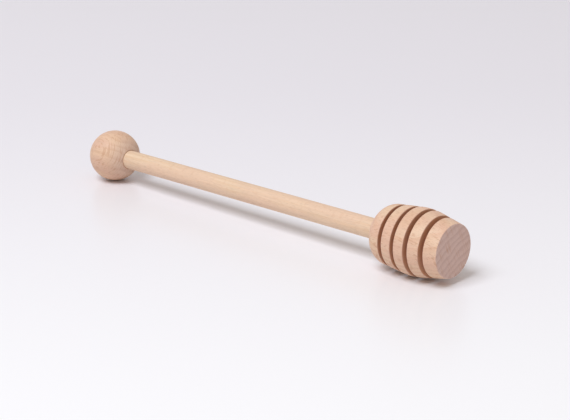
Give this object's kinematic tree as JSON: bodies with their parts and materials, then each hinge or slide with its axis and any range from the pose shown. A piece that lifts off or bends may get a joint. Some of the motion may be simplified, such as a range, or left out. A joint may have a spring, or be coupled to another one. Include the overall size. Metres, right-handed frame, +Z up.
{
  "type": "honey dipper",
  "caption": "Wooden honey dipper: grooved barrel-shaped head that picks up honey, on a straight round rod with a ball on its other end, lying on its side.",
  "frame": {"origin": "on the surface that the dipper lies on, under the middle of its length", "axes": "+X runs from the ball towards the head's flat front face, along the length; +Z is up, away from the surface; the tool's own axis rises 0.66 degrees towards the head, because the ball is smaller than the head"},
  "size_m": [0.2002, 0.026, 0.026],
  "materials": {
    "head_wood": "bare turned beech, sanded smooth, with darker cut faces inside the grooves",
    "rod_wood": "bare birch or beech dowel, sanded smooth, a little lighter than the head",
    "ball_wood": "bare turned beech, sanded smooth"
  },
  "bodies": {
    "root": {"dipper_head": "head_wood", "handle_rod": "rod_wood", "end_ball": "ball_wood"}
  },
  "joints": []
}
